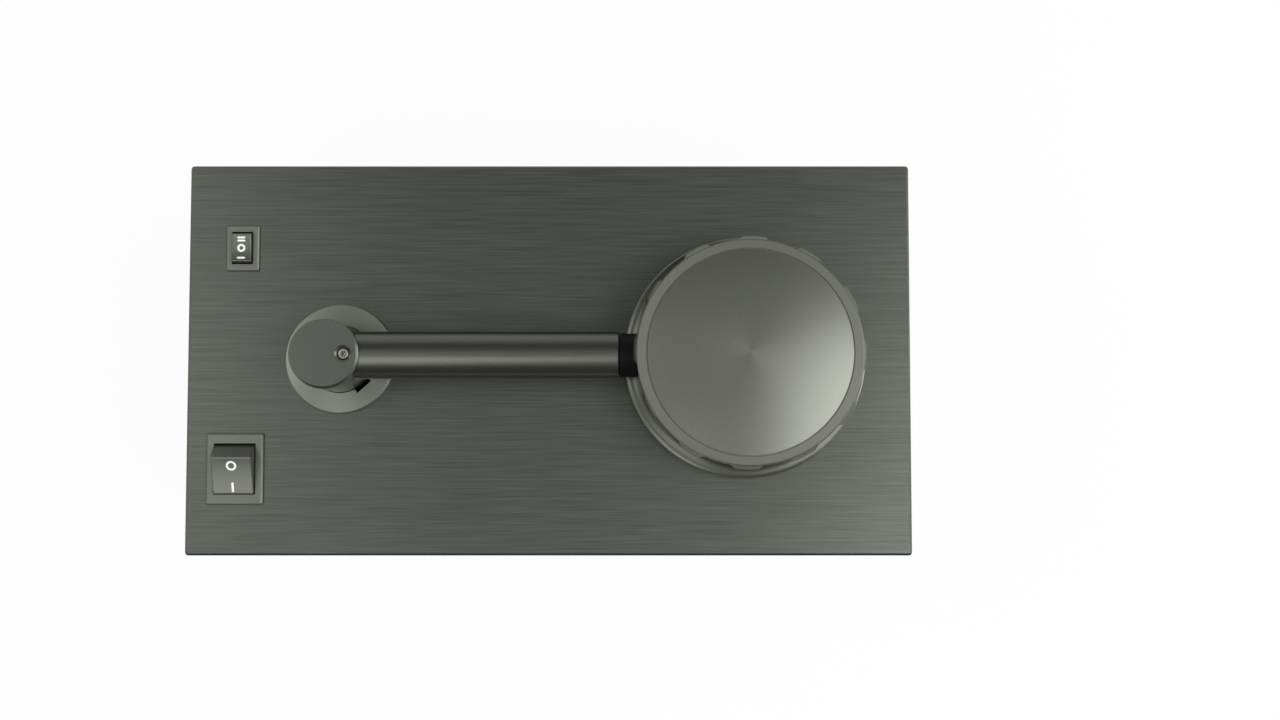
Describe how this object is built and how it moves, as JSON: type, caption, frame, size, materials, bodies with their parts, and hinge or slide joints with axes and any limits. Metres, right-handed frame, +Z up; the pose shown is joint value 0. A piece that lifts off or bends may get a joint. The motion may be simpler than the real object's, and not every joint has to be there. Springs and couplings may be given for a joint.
{
  "type": "record cleaning machine",
  "caption": "Vacuum record cleaning machine: dark brushed box with a swivelling suction arm, a screw-down clamp on a driven platter, rocker switches and a waste tank inside.",
  "frame": {"origin": "centre of the underside of the space the machine takes up, on the bench under its feet", "axes": "+X along the long side, from the arm towards the platter, +Y from the front to the back, +Z up"},
  "size_m": [0.324, 0.1896, 0.2532],
  "materials": {
    "panel": "dark brushed sheet, anthracite lacquer",
    "zinc_steel": "zinc-plated",
    "foot_rubber": "matt",
    "satin_alloy": "grey anodised, satin",
    "black_alloy": "black anodised, satin",
    "spring_steel": "bright",
    "black_nylon": "moulded",
    "velvet": "short pile",
    "cast_alloy": "as cast and pressed",
    "brass": "turned",
    "switch_plastic": "fine grained",
    "tank_plastic": "translucent natural",
    "black_plastic": "moulded",
    "clear_tube": "clear soft tube",
    "board": "green laminate with parts",
    "cable": "sleeved"
  },
  "bodies": {
    "case": {"top_plate": "panel", "front_panel": "panel", "rear_panel": "panel", "left_panel": "panel", "right_panel": "panel", "bottom_plate": "panel", "corner_post_rear_right": "zinc_steel", "corner_post_rear_left": "zinc_steel", "corner_post_front_right": "zinc_steel", "corner_post_front_left": "zinc_steel", "flange_nut": "zinc_steel", "bearing_nut": "zinc_steel", "motor_plate": "zinc_steel", "gearbox": "zinc_steel", "drive_motor": "zinc_steel", "foot_rear_right": "foot_rubber", "foot_rear_left": "foot_rubber", "foot_front_right": "foot_rubber", "foot_front_left": "foot_rubber", "inlet_hose": "foot_rubber", "suction_hose": "foot_rubber", "mount_ring": "foot_rubber", "arm_flange": "satin_alloy", "lift_spring": "spring_steel", "bearing_housing": "cast_alloy", "vacuum_motor": "cast_alloy", "fan_housing": "cast_alloy", "fan_cover": "cast_alloy", "bearing_bush": "brass", "drive_switch_body": "switch_plastic", "vacuum_switch_body": "switch_plastic", "waste_tank": "tank_plastic", "tank_lid": "black_plastic", "mains_inlet": "black_plastic", "exhaust_grille": "black_plastic", "drain_elbow": "black_plastic", "tube_clip": "black_plastic", "level_tube": "clear_tube", "power_board": "board", "mains_loom": "cable"},
    "platter": {"platter": "black_alloy", "platter_mat": "foot_rubber", "spindle": "spring_steel", "drive_gear": "black_nylon"},
    "pinion": {"motor_pinion": "brass"},
    "fan": {"impeller": "cast_alloy"},
    "clamp": {"clamp_body": "satin_alloy", "clamp_seal": "foot_rubber", "clamp_insert": "brass"},
    "lift": {"thrust_washer": "black_nylon"},
    "arm": {"arm_post": "black_alloy", "guide_pin": "spring_steel", "set_screw": "spring_steel", "arm_tube": "black_alloy", "end_plug": "black_nylon", "pad_rear": "velvet", "pad_front": "velvet"},
    "drive_switch": {"drive_rocker": "switch_plastic"},
    "vacuum_switch": {"vacuum_rocker": "switch_plastic"},
    "stopper": {"tube_stopper": "foot_rubber"}
  },
  "joints": [
    {"name": "platter_spin", "type": "hinge", "parent": "case", "child": "platter", "pos_m": [0.0869, -0.00725, 0.21], "axis": [0, 0, 1], "continuous": true},
    {"name": "pinion_spin", "type": "hinge", "parent": "case", "child": "pinion", "pos_m": [0.1215, -0.00725, 0.175], "axis": [0, 0, 1], "continuous": true},
    {"name": "impeller_spin", "type": "hinge", "parent": "case", "child": "fan", "pos_m": [0.075, -0.00725, 0.088], "axis": [0, 0, 1], "continuous": true},
    {"name": "clamp_turn", "type": "hinge", "parent": "platter", "child": "clamp", "pos_m": [0.0869, -0.00725, 0.23], "axis": [0, 0, 1], "continuous": true},
    {"name": "arm_sink", "type": "slide", "parent": "case", "child": "lift", "axis": [0, 0, 1], "range_m": [-0.002, 0], "stiffness_N_per_m": 400, "springref_m": 0.01, "deforming": ["lift_spring"]},
    {"name": "arm_swing", "type": "hinge", "parent": "lift", "child": "arm", "pos_m": [-0.0935, -0.00725, 0.22], "axis": [0, 0, 1], "range_deg": [-120, 120]},
    {"name": "drive_rocker_tilt", "type": "hinge", "parent": "case", "child": "drive_switch", "pos_m": [-0.1378, 0.04275, 0.1988], "axis": [1, 0, 0], "range_deg": [-11, 11]},
    {"name": "vacuum_rocker_tilt", "type": "hinge", "parent": "case", "child": "vacuum_switch", "pos_m": [-0.1399, -0.05625, 0.1984], "axis": [1, 0, 0], "range_deg": [-42, 0]},
    {"name": "stopper_pull", "type": "slide", "parent": "case", "child": "stopper", "axis": [0, 0, 1], "range_m": [0, 0.02]}
  ],
  "couplings": [
    {"joint": "pinion_spin", "follows": "platter_spin", "ratio": -2.2857}
  ]
}
